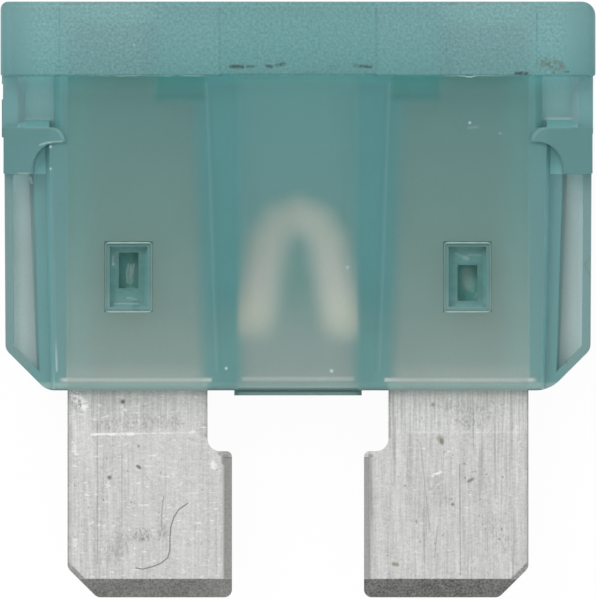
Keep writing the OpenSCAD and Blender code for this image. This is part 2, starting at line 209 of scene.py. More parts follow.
class Graph:
    """The node tree of one material or world."""

    def __init__(self, tree: bpy.types.NodeTree) -> None:
        """Empties the tree, ready for new nodes."""
        self.tree = tree
        tree.nodes.clear()

    def node(self, kind: str, settings: dict[str, Any], inputs: dict[Union[str, int], Any]) -> bpy.types.Node:
        """Adds a node.

        Args:
            kind: the node's type.
            settings: its properties, which are set first. The stops of a colour ramp are pairs of place and
                colour.
            inputs: values or links, by the names or places of its sockets.

        Returns:
            The node.
        """
        node = self.tree.nodes.new(kind)
        for name, setting in settings.items():
            if name == "stops":
                for spare in list(node.color_ramp.elements)[1:]:
                    node.color_ramp.elements.remove(spare)
                for place, colour in setting[1:]:
                    node.color_ramp.elements.new(place).color = (*colour, 1.0)
                node.color_ramp.elements[0].position, first = setting[0]
                node.color_ramp.elements[0].color = (*first, 1.0)
            else:
                setattr(node, name, setting)
        for key, given in inputs.items():
            link = given.socket if isinstance(given, Value) else given
            if isinstance(link, bpy.types.NodeSocket):
                self.tree.links.new(link, node.inputs[key])
            elif isinstance(link, tuple) and node.inputs[key].type == "RGBA":
                node.inputs[key].default_value = (*link, 1.0)
            else:
                node.inputs[key].default_value = link
        return node

    def vector_math(self, operation: str, inputs: dict[Union[str, int], Any]) -> Socket:
        """Adds one Vector Math node.

        Args:
            operation: the node's operation.
            inputs: its inputs.

        Returns:
            The vector it gives.
        """
        return self.node("ShaderNodeVectorMath", {"operation": operation}, inputs).outputs["Vector"]

    def dot(self, first: Socket, second: Any) -> Value:
        """Dot product of two vectors."""
        node = self.node("ShaderNodeVectorMath", {"operation": "DOT_PRODUCT"}, {0: first, 1: second})
        return Value(self, node.outputs["Value"])

    def length(self, vector: Socket) -> Value:
        """Length of a vector."""
        node = self.node("ShaderNodeVectorMath", {"operation": "LENGTH"}, {0: vector})
        return Value(self, node.outputs["Value"])

    def axes(self, point: Socket) -> tuple[Value, Value, Value]:
        """The three numbers of a point."""
        node = self.node("ShaderNodeSeparateXYZ", {}, {"Vector": point})
        return tuple(Value(self, socket) for socket in node.outputs)

    def vector(self, x: Number, y: Number, z: Number) -> Socket:
        """A point made of three numbers."""
        return self.node("ShaderNodeCombineXYZ", {}, {0: x, 1: y, 2: z}).outputs[0]

    def noise(self, point: Socket, scale: float, detail: float = 2.0, rough: float = 0.5) -> Value:
        """Noise around 0.5 at a point.

        Args:
            point: where it is read.
            scale: bumps in each unit of the point.
            detail: how many finer layers it has.
            rough: how strong those are.

        Returns:
            The noise.
        """
        inputs = {"Vector": point, "Scale": scale, "Detail": detail, "Roughness": rough}
        return Value(self, self.node("ShaderNodeTexNoise", {}, inputs).outputs["Fac"])

    def ramp(self, value: Value, stops: Stops) -> Socket:
        """Colour that runs through stops as a number grows.

        Args:
            value: the number.
            stops: pairs of a number and a colour, in rising order.

        Returns:
            The colour.
        """
        low, high = stops[0][0], stops[-1][0]
        placed = [((place - low) / (high - low), colour) for place, colour in stops]
        share = (value - low) * (1.0 / (high - low))
        return self.node("ShaderNodeValToRGB", {"stops": placed}, {"Fac": share}).outputs["Color"]

    def mix(self, share: Number, first: Any, second: Any, blend: str = "MIX") -> Socket:
        """Mixes two colours.

        Args:
            share: 0 for the first colour, 1 for the second.
            first: a colour or a link to one.
            second: the same.
            blend: the blend type.

        Returns:
            The colour's socket.
        """
        settings = {"data_type": "RGBA", "blend_type": blend}
        return self.node("ShaderNodeMix", settings, {0: share, 6: first, 7: second}).outputs[2]

    def product(self, first: Any, second: Any) -> Socket:
        """Product of two colours."""
        return self.mix(1.0, first, second, "MULTIPLY")

    def grey(self, value: Number) -> Socket:
        """A number as a grey colour."""
        return self.node("ShaderNodeCombineColor", {}, {0: value, 1: value, 2: value}).outputs[0]

    def principled(self, inputs: dict[str, Any]) -> Socket:
        """Adds a Principled shader."""
        return self.node("ShaderNodeBsdfPrincipled", {}, inputs).outputs[0]

    def mix_shader(self, share: Number, first: Socket, second: Socket) -> Socket:
        """Mixes two shaders, with 0 for the first and 1 for the second."""
        return self.node("ShaderNodeMixShader", {}, {0: share, 1: first, 2: second}).outputs[0]

    def rays(self, *kinds: str) -> Value:
        """1 for a ray of any of the kinds, by the Light Path node's names."""
        path = self.node("ShaderNodeLightPath", {}, {})
        found = Value(self, path.outputs[kinds[0]])
        for kind in kinds[1:]:
            found = found.most(Value(self, path.outputs[kind]))
        return found


def new_material(name: str) -> tuple[bpy.types.Material, Graph]:
    """Makes an empty material and the graph for its nodes."""
    material = bpy.data.materials.new(name)
    material.use_nodes = True
    return material, Graph(material.node_tree)


@dataclass(frozen=True)
class Origin:
    """Where the finishes count from, in the frame's metres."""

    underside_y: float
    middle_z: float


class Surface:
    """A point on the fuse in millimetres, with the masks that the finishes draw with.

    The plan is the point seen from the front, and folded is the plan with the left half laid on the right one.
    Front is 1 on the front and right is 1 on the right half. Steep is 0 on a face that looks straight to the front
    or the back, and 1 on one that looks aside.
    """

    def __init__(self, graph: Graph, origin: Origin) -> None:
        """Reads the point in the frame and counts it from the origin.

        Args:
            graph: the material's graph.
            origin: the zero of h and z.
        """
        self.graph = graph
        coordinates = graph.node("ShaderNodeTexCoord", {}, {})
        point = coordinates.outputs["Object"]
        zero = (0.0, origin.underside_y, origin.middle_z)
        moved = graph.vector_math("SUBTRACT", {0: point, 1: zero})
        self.point = graph.vector_math("SCALE", {0: moved, "Scale": 1.0 / MM})
        self.x, self.h, self.z = graph.axes(self.point)
        self.side = abs(self.x)
        self.depth = abs(self.z)
        self.plan = graph.vector(self.x, self.h, 0.0)
        self.folded = graph.vector(self.side, self.h, 0.0)
        self.front = self.z.rise(0.2, 0.25)
        self.right = self.x.rise(-1.0, 1.0)
        self.steep = 1.0 - abs(graph.axes(coordinates.outputs["Normal"])[2])

    def box(self, x: Point, h: Point, soft: float, across: Union[Value, None] = None) -> Value:
        """Mask of an upright rectangle.

        Args:
            x: its left and right edges.
            h: its lower and upper edges.
            soft: width of its soft edge.
            across: what x is compared with, if not the point's own.

        Returns:
            The mask.
        """
        return (across or self.x).band(*x, soft) * self.h.band(*h, soft)

    def away(self, plan: Socket, start: Point, end: Point) -> Value:
        """Distance in a plan from a straight line between two points.

        The foot on the line is start + t * (end - start). There t is the dot product of point - start and
        end - start, over the squared length and held between 0 and 1.

        Args:
            plan: the point in the plan, as it is or folded over the middle.
            start: one end.
            end: the other end, or the same point for a dot.

        Returns:
            The distance in millimetres.
        """
        run = (end[0] - start[0], end[1] - start[1], 0.0)
        square = run[0] ** 2 + run[1] ** 2
        offset = self.graph.vector_math("SUBTRACT", {0: plan, 1: (*start, 0.0)})
        if square > 0:
            along = (self.graph.dot(offset, run) * (1.0 / square)).clamped()
            foot = self.graph.vector_math("SCALE", {0: run, "Scale": along})
            offset = self.graph.vector_math("SUBTRACT", {0: offset, 1: foot})
        return self.graph.length(offset)

    def stroke(self, stroke: Stroke, plan: Union[Socket, None] = None, edges: Point = (0.8, 0.2)) -> Value:
        """Mask of a drawn line.

        Args:
            stroke: the line.
            plan: the plan it is drawn in, if not the fuse's own.
            edges: where it ends and where it is full, as shares of its width.

        Returns:
            The mask, as strong as the line says.
        """
        plan = plan or self.plan
        ends = list(zip(stroke.points, stroke.points[1:])) or [stroke.points * 2]
        away = self.away(plan, *ends[0])
        for start, end in ends[1:]:
            away = away.least(self.away(plan, start, end))
        return away.rise(stroke.width * edges[0], stroke.width * edges[1]) * stroke.strength

    def strokes(self, strokes: tuple[Stroke, ...]) -> Value:
        """Mask of several lines, where the strongest counts."""
        mask = self.stroke(strokes[0])
        for stroke in strokes[1:]:
            mask = mask.most(self.stroke(stroke))
        return mask

    def grain(self, grain: Grain) -> Value:
        """Noise around 0.5 with its own scales across and along."""
        point = self.graph.vector(self.x * grain.across, self.h * grain.along, self.z + grain.shift)
        return self.graph.noise(point, 1.0, grain.detail, grain.rough)


class Paint:
    """A colour that is laid on in coats."""

    def __init__(self, graph: Graph, colour: Any) -> None:
        """Starts from a ground colour or a link to one."""
        self.graph = graph
        self.colour = colour

    def lay(self, mask: Number, colour: Any) -> None:
        """Lays a colour on where the mask is 1."""
        self.colour = self.graph.mix(mask, self.colour, colour)

    def shade(self, mask: Number, tone: Number) -> None:
        """Makes the colour lighter or darker by a factor where the mask is 1."""
        self.colour = self.graph.mix(mask, self.colour, self.graph.grey(tone), "MULTIPLY")


@dataclass(frozen=True)
class TintedPlastic:
    """Milky blue-green moulding: part of the light goes through it, and its skin scatters the rest. The skin's
    colour also holds painted highlights, glints, shade and lightening.
    """

    clear_tint: Colour = (0.95, 0.97, 0.97)
    clear_roughness: float = 0.5
    milky_roughness: float = 0.42
    ior: float = 1.5
    body_tint: Colour = (0.2, 0.72, 0.7)
    density: float = 600.0
    thick_share: float = 0.7
    blade_share: float = 0.5
    chamber_share: float = 0.52
    notch_share: float = 0.8
    head_share: float = 0.85
    pocket_share: float = 0.9
    lean: float = 0.035
    # Painted highlight along the start of the rounded lower edge.
    foot_highlight: Colour = (0.60, 0.64, 0.60)
    # Colour of the painted highlights and painted glints.
    painted_highlight: Colour = (0.60, 0.76, 0.73)
    # Colour of the head's seams and of the painted shade along edges, folds and the underside.
    seam_and_shade_line: Colour = (0.03, 0.11, 0.105)
    dirt: Colour = (0.014, 0.013, 0.011)
    rust: Colour = (0.10, 0.085, 0.06)
    rib: Colour = (0.055, 0.225, 0.232)
    rib_foot: Colour = (0.083, 0.245, 0.239)
    shoulder: Colour = (0.09, 0.24, 0.245)
    # hollow, wall, low_wall, outer_wall and bank are painted lightening that fills the shade on recessed faces and
    # walls.
    hollow: Colour = (0.265, 0.60, 0.62)
    plate: Colour = (0.125, 0.31, 0.315)
    post: Colour = (0.142, 0.33, 0.34)
    wall: Colour = (0.345, 0.74, 0.73)
    low_wall: Colour = (0.25, 0.53, 0.55)
    outer_wall: Colour = (0.41, 0.76, 0.77)
    bank: Colour = (0.38, 0.58, 0.60)
    rim: Colour = (0.168, 0.292, 0.292)
    notch: Colour = (0.03, 0.17, 0.158)
    # Painted light on the strip along the rounded lower edge.
    lowest: Colour = (0.36, 0.54, 0.50)
    lip: Colour = (0.09, 0.235, 0.215)
    pocket_rim: Colour = (0.098, 0.215, 0.203)
    pocket_foot: Colour = (0.138, 0.26, 0.248)
    pocket: Colour = (0.067, 0.215, 0.203)
    pocket_low: Colour = (0.105, 0.265, 0.26)
    well: Colour = (0.125, 0.42, 0.38)
    glint: Colour = (0.85, 0.92, 0.87)
    side_stops: Stops = (
        (0.0, (0.145, 0.30, 0.30)),
        (5.0, (0.115, 0.26, 0.265)),
        (10.0, (0.085, 0.255, 0.255)),
    )
    flank_stops: Stops = (
        (0.5, (0.30, 0.42, 0.385)),
        (5.0, (0.15, 0.315, 0.29)),
        (10.0, (0.085, 0.275, 0.262)),
    )
    pad_stops: Stops = (
        (8.7, (0.165, 0.33, 0.34)),
        (9.4, (0.19, 0.40, 0.41)),
    )
    head_stops: Stops = (
        (10.2, (0.105, 0.255, 0.26)),
        (11.2, (0.135, 0.285, 0.295)),
        (12.4, (0.155, 0.31, 0.315)),
    )
    head_middle: Colour = (0.80, 0.907, 0.897)
    head_between: Colour = (0.87, 0.93, 0.94)
    head_tab: Colour = (1.06, 1.06, 1.05)
    blade_stops: Stops = (
        (0.5, (0.29, 0.36, 0.322)),
        (2.5, (0.21, 0.31, 0.278)),
        (5.0, (0.15, 0.27, 0.24)),
        (8.0, (0.115, 0.25, 0.23)),
        (10.0, (0.085, 0.24, 0.225)),
    )
    chamber_stops: Stops = (
        (0.5, (0.24, 0.265, 0.235)),
        (1.6, (0.20, 0.245, 0.22)),
        (3.5, (0.075, 0.185, 0.155)),
        (6.5, (0.045, 0.185, 0.185)),
        (10.0, (0.035, 0.21, 0.20)),
    )
    web_stops: Stops = (
        (1.0, (0.455, 0.52, 0.52)),
        (4.5, (0.355, 0.44, 0.435)),
        (6.2, (0.365, 0.47, 0.465)),
        (7.0, (0.465, 0.615, 0.61)),
    )
    metal_stops: Stops = (
        (2.6, (0.49, 0.48, 0.40)),
        (3.5, (0.43, 0.42, 0.38)),
        (5.3, (0.325, 0.34, 0.295)),
    )
    head_h: float = 10.12
    shoulder_h: Point = (6.97, 8.45)
    shoulder_x: float = 8.0
    pad_h: float = 8.7
    pad_x: Point = (7.85, 8.8)
    post_x: float = 8.9
    rim_x: float = 8.48
    rim_foot_x: float = 8.06
    rim_foot_h: float = 1.0
    web_x: Point = (8.36, 9.24)
    web_lean: float = 0.041
    web_depth: float = 0.6
    plate_x: Point = (8.02, 8.6)
    plate_depth: Point = (0.7, 1.4)
    wall_x: Point = (7.55, 9.27)
    outer_wall_x: float = 8.8
    slot_x: float = 7.47
    thin_x: Point = (3.0, 3.7)
    rib_x: float = 2.95
    valley_x: float = 2.8
    chamber_x: float = 2.1
    mouth_x: float = 2.0
    seam_x: Point = (2.52, 7.67)
    seam_h: Point = (10.25, 12.4)
    ledge_x: Point = (7.98, 8.88)
    ledge_h: float = 8.75
    foot_highlight_h: float = 0.34
    crease_h: float = 0.01
    second_crease_h: float = 0.215
    inside_depth: float = 1.3
    inside_x: float = 7.5
    inside_h: Point = (0.0, 12.4)
    glow_h: Point = (0.35, 0.75)
    middle_x: float = 2.5
    tab_x: Point = (4.8, 8.7)
    # Where painted lightening fills the shade under the head.
    painted_lift_h: Point = (9.7, 10.1)
    soft_shade_h: Point = (9.4, 9.8)
    soft_shade_x: Point = (2.85, 8.9)
    frost_scale: float = 11.0
    cloud_scale: float = 0.7
    crumb_scale: float = 8.0
    notch_box: tuple[Point, Point] = ((2.95, 4.6), (9.3, 10.3))
    pocket_box: tuple[Point, Point] = ((4.67, 6.23), (2.52, 4.8))
    floor_box: tuple[Point, Point] = ((4.93, 5.97), (2.78, 4.54))
    floor_depth: float = 1.66
    well_depth: float = 1.3
    dark_well_x: Point = (-5.33, -5.1)
    wells: tuple[tuple[Point, Point], ...] = (((-5.76, -5.12), (3.23, 4.41)), ((5.15, 5.83), (2.89, 4.03)))
    # Places of painted lines: highlights on the beak, its underside and the left edge, and a painted dark edge
    # along the bend.
    beak: Arc = Arc(8.02, 7.98, 0.47)
    bend: Arc = Arc(7.68, 7.12, 0.84)
    beak_underside: Stroke = Stroke(((7.58, 8.0), (8.07, 7.97), (8.3, 7.9)), 0.06, 0.42)
    left_edge: Stroke = Stroke(((-7.93, 7.0), (-7.76, 0.63)), 0.06, 1.0)
    streaky: Grain = Grain(4.0, 9.0)
    arch: Stroke = Stroke(((0.0, 5.58), (0.55, 5.36), (0.93, 4.78), (1.15, 3.55), (1.42, 2.0)), 1.08, 1.0)
    # Painted glints on the front: bright dots and short lines.
    glint_dots: tuple[Stroke, ...] = (
        Stroke(((-8.99, 6.97), (-8.68, 6.97)), 0.06, 0.7),
        Stroke(((-8.63, 6.85), (-8.58, 6.68)), 0.08, 1.0),
        Stroke(((-7.96, 7.84),), 0.09, 1.0),
        Stroke(((-7.96, 7.13),), 0.08, 0.9),
        Stroke(((-8.8, 8.57),), 0.09, 0.6),
        Stroke(((-2.31, 0.71),), 0.09, 0.8),
        Stroke(((-5.26, 11.09),), 0.08, 0.25),
        Stroke(((5.525, 8.61),), 0.09, 1.0),
        Stroke(((5.47, 8.44), (5.78, 8.47)), 0.06, 0.25),
        Stroke(((1.08, 0.63),), 0.11, 1.0),
        Stroke(((1.59, 3.96),), 0.1, 0.7),
        Stroke(((6.5, 8.27),), 0.1, 0.35),
    )
    specks: tuple[Stroke, ...] = (
        Stroke(((-2.15, 10.41), (-1.78, 10.41)), 0.12, 0.95),
        Stroke(((-1.62, 10.41), (-1.42, 10.41)), 0.09, 0.6),
        Stroke(((-1.0, 10.44), (-0.86, 10.4)), 0.11, 0.8),
        Stroke(((-0.68, 10.46), (-0.45, 10.5)), 0.11, 1.0),
        Stroke(((1.05, 10.42), (1.3, 10.41)), 0.08, 0.35),
        Stroke(((1.82, 10.43), (2.35, 10.41)), 0.11, 0.8),
        Stroke(((7.0, 10.2), (7.34, 10.19)), 0.1, 0.85),
        Stroke(((8.22, 10.22),), 0.08, 0.9),
        Stroke(((8.55, 10.24), (8.68, 10.24)), 0.06, 0.7),
        Stroke(((8.65, 0.9),), 0.08, 0.7),
        Stroke(((9.39, 4.24), (9.24, 4.05), (9.31, 3.88), (9.41, 3.7)), 0.05, 0.4),
    )
    stain: Stroke = Stroke(((7.85, 10.55), (8.42, 10.42)), 0.3, 0.75)
    glints: tuple[Stroke, ...] = (
        Stroke(((-5.4, 3.92), (-5.42, 3.52)), 0.2, 0.24),
        Stroke(((-5.46, 4.06), (-5.52, 3.8), (-5.5, 3.5)), 0.06, 0.4),
        Stroke(((-5.38, 4.03), (-5.41, 3.6)), 0.05, 0.45),
        Stroke(((-5.29, 4.06), (-5.35, 3.72)), 0.06, 0.4),
        Stroke(((-5.55, 3.31), (-5.28, 3.31)), 0.05, 0.2),
        Stroke(((-5.95, 4.3), (-5.955, 4.06)), 0.06, 0.15),
        Stroke(((-5.95, 4.06),), 0.1, 0.3),
        Stroke(((-5.92, 2.8), (-5.15, 2.79)), 0.05, 0.2),
        Stroke(((-5.5, 2.98), (-5.2, 2.93)), 0.07, 0.12),
        Stroke(((5.44, 3.78), (5.5, 3.4)), 0.34, 0.28),
        Stroke(((5.38, 3.5), (5.62, 3.2)), 0.1, 0.15),
        Stroke(((5.06, 4.42), (5.3, 4.3)), 0.06, 0.07),
        Stroke(((5.5, 4.36), (5.88, 4.34)), 0.07, 0.07),
        Stroke(((5.35, 4.27), (5.44, 4.25)), 0.13, 0.12),
        Stroke(((5.18, 2.92),), 0.09, 0.2),
        Stroke(((5.7, 2.98), (5.76, 3.12)), 0.06, 0.15),
    )

    def on_head(self, at: Surface) -> Value:
        """Mask of the head."""
        return at.h.rise(self.head_h - 0.04, self.head_h + 0.02)

    def before_blade(self, at: Surface, from_rib: Value, soft: float) -> Value:
        """Mask of the thin wall in front of the blades.

        Args:
            at: the point on the fuse.
            from_rib: distance across, less the lean of the slots' inner sides.
            soft: width of the mask's outer edge.

        Returns:
            The mask.
        """
        return from_rib.rise(*self.thin_x) * at.side.rise(self.slot_x, self.slot_x - soft)

    def painted_highlights(self, at: Surface, from_rib: Value) -> Value:
        """Draws the painted highlights along the edges.

        Args:
            at: the point on the fuse.
            from_rib: distance across, less the lean of the slots' inner sides.

        Returns:
            Their mask.
        """
        graph = at.graph
        corner = graph.vector((self.beak.side - at.side).most(0.0), (at.h - self.beak.h).most(0.0), 0.0)
        beak = graph.length(corner).near(self.beak.radius, 0.07, 0.01)
        beak = beak * at.side.band(7.5, 8.8, 0.1) * at.h.rise(8.0, 8.15) * 0.13
        under = at.stroke(self.beak_underside, at.folded) * at.x.rise(0.1, 0.0)
        ledge = at.h.near(self.ledge_h, 0.06, 0.02) * at.side.band(*self.ledge_x, 0.1)
        ledge = ledge * (at.right * 0.25 + 0.15)
        edge = at.stroke(self.left_edge) * (at.h.rise(1.8, 0.9) * 0.5 + 0.06)
        rib = from_rib.near(self.rib_x, 0.06, 0.01) * at.h.band(0.6, 9.9, 0.2) * 0.06
        return beak.most(under).most(ledge).most(edge).most(rib)

    def seam_and_shade_lines(self, at: Surface, from_rib: Value) -> Value:
        """Draws the head's seams, and the painted shade along the edges, the folds and the underside.

        Args:
            at: the point on the fuse.
            from_rib: distance across, less the lean of the slots' inner sides.

        Returns:
            Their mask.
        """
        graph = at.graph
        bend = graph.length(graph.vector(at.side - self.bend.side, at.h - self.bend.h, 0.0))
        bend = bend.near(self.bend.radius, 0.08, 0.01)
        bend = bend * at.side.rise(7.6, 7.8) * at.h.band(7.0, 8.2, 0.1) * 0.3
        seams = at.side.near(self.seam_x[0], 0.06, 0.02).most(at.side.near(self.seam_x[1], 0.045, 0.01))
        seams = seams * at.h.band(*self.seam_h, 0.1) * 0.25
        valley = from_rib.near(self.valley_x, 0.05, 0.01) * at.h.band(0.6, 10.0, 0.2) * 0.14
        # Painted shade along the underside and in the lip's creases.
        sole = at.side.band(1.9, 2.93, 0.05).most(at.side.rise(7.35, 7.45))
        sole = at.h.rise(0.09, 0.01) * sole * 0.85
        second = at.h.near(self.second_crease_h, 0.07, 0.02) * 0.3
        crease = at.h.near(self.crease_h, 0.1, 0.03).most(second)
        crease = crease * at.side.rise(self.mouth_x - 0.02, self.mouth_x - 0.1)
        return bend.most(seams).most(valley).most(sole).most(crease)

    def lay_wings(self, at: Surface, paint: Paint) -> None:
        """Lays the colours of the wings, the shoulders and the posts, with painted lightening in their shaded
        hollows, walls and web.

        Args:
            at: the point on the fuse.
            paint: what they are laid on.
        """
        graph = at.graph
        foot_h, top_h = self.shoulder_h
        low = at.h.band(-0.3, foot_h, 0.05)
        high = at.h.rise(top_h - 0.05, top_h + 0.03)
        foot = at.side.rise(self.rim_foot_x, self.rim_foot_x + 0.04)
        foot = foot * at.h.rise(self.rim_foot_h, self.rim_foot_h - 0.02)
        paint.lay(at.side.rise(self.rim_x, self.rim_x + 0.02).most(foot) * low, self.rim)
        # Painted lightening of the web towards the rim, which fills the rim's shade; a little darker on the right
        # half.
        web = at.side.rise(8.5, 9.05) * 0.46 + at.side.rise(8.98, 9.15) * 0.25 + 0.9
        web = graph.grey(web * (1.0 - at.right * 0.08))
        inner, outer = self.web_x
        on_web = at.depth.rise(self.web_depth, self.web_depth - 0.05)
        on_web = on_web * (at.side - at.h * self.web_lean).rise(inner, inner + 0.06)
        on_web = on_web * at.side.rise(outer, outer - 0.04)
        paint.lay(at.side.band(*self.plate_x, 0.04) * low * at.depth.band(*self.plate_depth, 0.1), self.plate)
        paint.lay(on_web * low, graph.product(graph.ramp(at.h, self.web_stops), web))
        shoulder = at.side.rise(self.shoulder_x - 0.02, self.shoulder_x + 0.03)
        paint.lay(shoulder * at.h.band(foot_h, top_h, 0.05), self.shoulder)
        # Painted lightening of the hollow under the shoulder, where shade falls.
        hollow = at.side.rise(self.shoulder_x + 0.01, self.shoulder_x + 0.04) * at.depth.rise(2.0, 1.9)
        paint.lay(hollow * at.h.band(foot_h, 8.0, 0.02), self.hollow)
        paint.lay(at.side.rise(self.post_x, self.post_x + 0.05) * high, self.post)
        pad = at.side.band(*self.pad_x, 0.05) * at.h.rise(self.pad_h - 0.02, self.pad_h + 0.02)
        paint.lay(pad, graph.ramp(at.h, self.pad_stops))
        # Painted lightening of the steep walls and of the ledge above them, which fills their shade.
        walls = at.side.band(*self.wall_x, 0.05) * at.h.band(0.0, self.head_h, 0.02)
        outside = at.side.rise(self.outer_wall_x, self.outer_wall_x + 0.02)
        wall = graph.mix(outside, self.wall, self.outer_wall)
        wall = graph.mix(high.most(at.side.rise(8.1, 8.2)), self.low_wall, wall)
        paint.lay(at.steep.rise(0.5, 0.85) * walls, wall)
        paint.lay(at.steep.band(0.08, 0.6, 0.05) * walls * high, self.bank)

    def ground(self, at: Surface, from_rib: Value) -> Paint:
        """Lays the colours of the moulding's parts.

        Args:
            at: the point on the fuse.
            from_rib: distance across, less the lean of the slots' inner sides.

        Returns:
            The paint, to lay more on.
        """
        graph = at.graph
        paint = Paint(graph, graph.ramp(at.h, self.side_stops))
        self.lay_wings(at, paint)
        paint.lay(self.before_blade(at, from_rib, 0.17), graph.ramp(at.h, self.blade_stops))
        flank = at.side.rise(6.3, 7.2) * at.side.rise(self.slot_x, self.slot_x - 0.07)
        paint.lay(flank, graph.ramp(at.h, self.flank_stops))
        paint.lay(1.0 - from_rib.rise(*self.thin_x), graph.mix(at.h.rise(3.3, 1.8), self.rib, self.rib_foot))
        paint.lay(at.side.rise(self.chamber_x, 1.4), graph.ramp(at.h, self.chamber_stops))
        paint.lay(at.box(*self.notch_box, 0.35, at.side), self.notch)
        brighter = graph.grey(1.0 + at.x.rise(-0.3, 0.3) * 0.16)
        blurred = at.stroke(self.arch, at.folded, (0.95, 0.05)) * at.h.rise(1.1, 2.5)
        blurred = blurred * at.side.rise(self.chamber_x - 0.02, 1.8)
        paint.lay(blurred, graph.product(graph.ramp(at.h, self.metal_stops), brighter))
        # Painted light on the lighter strip along the rounded lower edge.
        lowest = at.side.rise(self.mouth_x, self.mouth_x - 0.1) * 0.3 + at.side.rise(2.8, 3.0) * 0.55 + 0.2
        paint.lay(at.h.rise(0.3, 0.2) * lowest, self.lowest)
        paint.lay(at.h.rise(0.0, -0.06), self.lip)
        inner, outer = self.tab_x
        tab = at.side.rise(inner - 0.6, inner + 0.6) * at.side.rise(outer + 0.5, outer - 0.5)
        head = graph.mix(tab, self.head_between, self.head_tab)
        head = graph.mix(at.side.rise(self.middle_x + 0.05, self.middle_x - 0.05), head, self.head_middle)
        paint.lay(self.on_head(at), graph.product(graph.ramp(at.h, self.head_stops), head))
        return paint

    def lay_pockets(self, at: Surface, pocket: Value, paint: Paint) -> None:
        """Lays the colours of the stakes' pockets, with painted shade towards the wells, painted lightening along
        the floors' edges and painted glints in the wells.

        Args:
            at: the point on the fuse.
            pocket: mask of the pockets.
            paint: what they are laid on.
        """
        graph = at.graph
        paint.lay(pocket, graph.mix(at.h.rise(3.5, 2.7), self.pocket_rim, self.pocket_foot))
        sunk = pocket * at.depth.rise(self.floor_depth + 0.06, self.floor_depth)
        paint.lay(sunk, graph.mix(at.h.rise(3.3, 2.85), self.pocket, self.pocket_low))
        wells = at.box(*self.wells[0], 0.3).most(at.box(*self.wells[1], 0.3))
        # Painted shade towards the wells, with streaks in the floors.
        paint.shade(sunk, 1.0 - wells * 0.3 + (at.grain(self.streaky) - 0.5) * 0.5)
        # Painted lightening along the floors' edges, which fills the shade at their walls.
        paint.shade(sunk, 1.4 - at.box(*self.floor_box, 0.12, at.side) * 0.4)
        paint.lay(pocket * at.depth.rise(self.well_depth + 0.05, self.well_depth), self.well)
        # Painted shade over the right part of the left well.
        paint.lay(pocket * at.x.band(*self.dark_well_x, 0.08) * 0.5, self.pocket)
        # Painted glints in the wells.
        paint.lay(pocket * at.front * at.strokes(self.glints), self.glint)

    def tone(self, at: Surface) -> Value:
        """Works out the plastic's grain and clouds, and the painted lightening that fills the shade under the
        head.

        Args:
            at: the point on the fuse.

        Returns:
            The factor for its colour.
        """
        graph = at.graph
        grain = graph.noise(at.point, self.frost_scale, 2.0, 0.6)
        cloudy = graph.noise(at.point, self.cloud_scale, 2.0, 0.5)
        on_head = self.on_head(at)
        frosted = on_head * at.side.rise(8.8, 8.4)
        tone = 1.0 + (grain - 0.5) * (frosted * 0.9 + 0.25) + (cloudy - 0.5) * (0.16 - on_head * 0.1)
        # Painted lightening that fills the shade under the head's overhang.
        painted_lift = at.h.rise(*self.painted_lift_h) * (at.side.rise(self.inside_x + 0.2, self.inside_x) * 0.35 + 0.4)
        painted_lift = painted_lift + at.h.rise(*self.soft_shade_h) * at.side.band(*self.soft_shade_x, 0.3) * 0.25
        painted_lift = painted_lift * at.h.rise(self.head_h + 0.01, self.head_h)
        # Painted lightening of the shadow line where the middle of the head meets the body.
        foot = at.h.band(self.head_h + 0.005, self.head_h + 0.095, 0.01)
        foot = foot * at.depth.rise(2.4, 2.3) * at.side.rise(self.middle_x + 0.1, self.middle_x) * 0.7
        return tone * (painted_lift + foot + 1.0)

    def paint(self, at: Surface, from_rib: Value, pocket: Value) -> Socket:
        """Draws the colour of the milky skin.

        Args:
            at: the point on the fuse.
            from_rib: distance across, less the lean of the slots' inner sides.
            pocket: mask of the stakes' pockets.

        Returns:
            The colour.
        """
        paint = self.ground(at, from_rib)
        # Painted highlight along the rounded lower edge, and a fainter painted glow of light above it over the
        # blade slots.
        inner = at.side.rise(2.3, 2.2)
        foot = (at.h - inner * 0.035).near(self.foot_highlight_h, 0.1, 0.02) * (1.0 - at.side.band(1.8, 2.78, 0.1))
        foot = foot * at.side.rise(self.inside_x + 0.25, self.inside_x) * (0.85 - inner * 0.42)
        glow = at.h.band(*self.glow_h, 0.3) * at.side.rise(2.9, 3.5)
        glow = glow * at.side.rise(self.inside_x, self.inside_x - 0.1)
        paint.lay(glow * 0.2, self.foot_highlight)
        paint.lay(foot, self.foot_highlight)
        # The head's seams, and painted shade along edges, folds and the underside.
        paint.lay(self.seam_and_shade_lines(at, from_rib), self.seam_and_shade_line)
        # Painted highlights along the edges, and painted glints on the front.
        paint.lay(self.painted_highlights(at, from_rib).most(at.front * at.strokes(self.glint_dots)), self.painted_highlight)
        crumbs = at.graph.noise(at.point, self.crumb_scale, 2.0, 0.6).rise(0.40, 0.56)
        paint.lay(at.front * at.stroke(self.stain) * crumbs, self.rust)
        paint.lay(at.front * at.strokes(self.specks) * (crumbs * 0.6 + 0.4), self.dirt)
        self.lay_pockets(at, pocket, paint)
        paint.shade(1.0, self.tone(at))
        return paint.colour

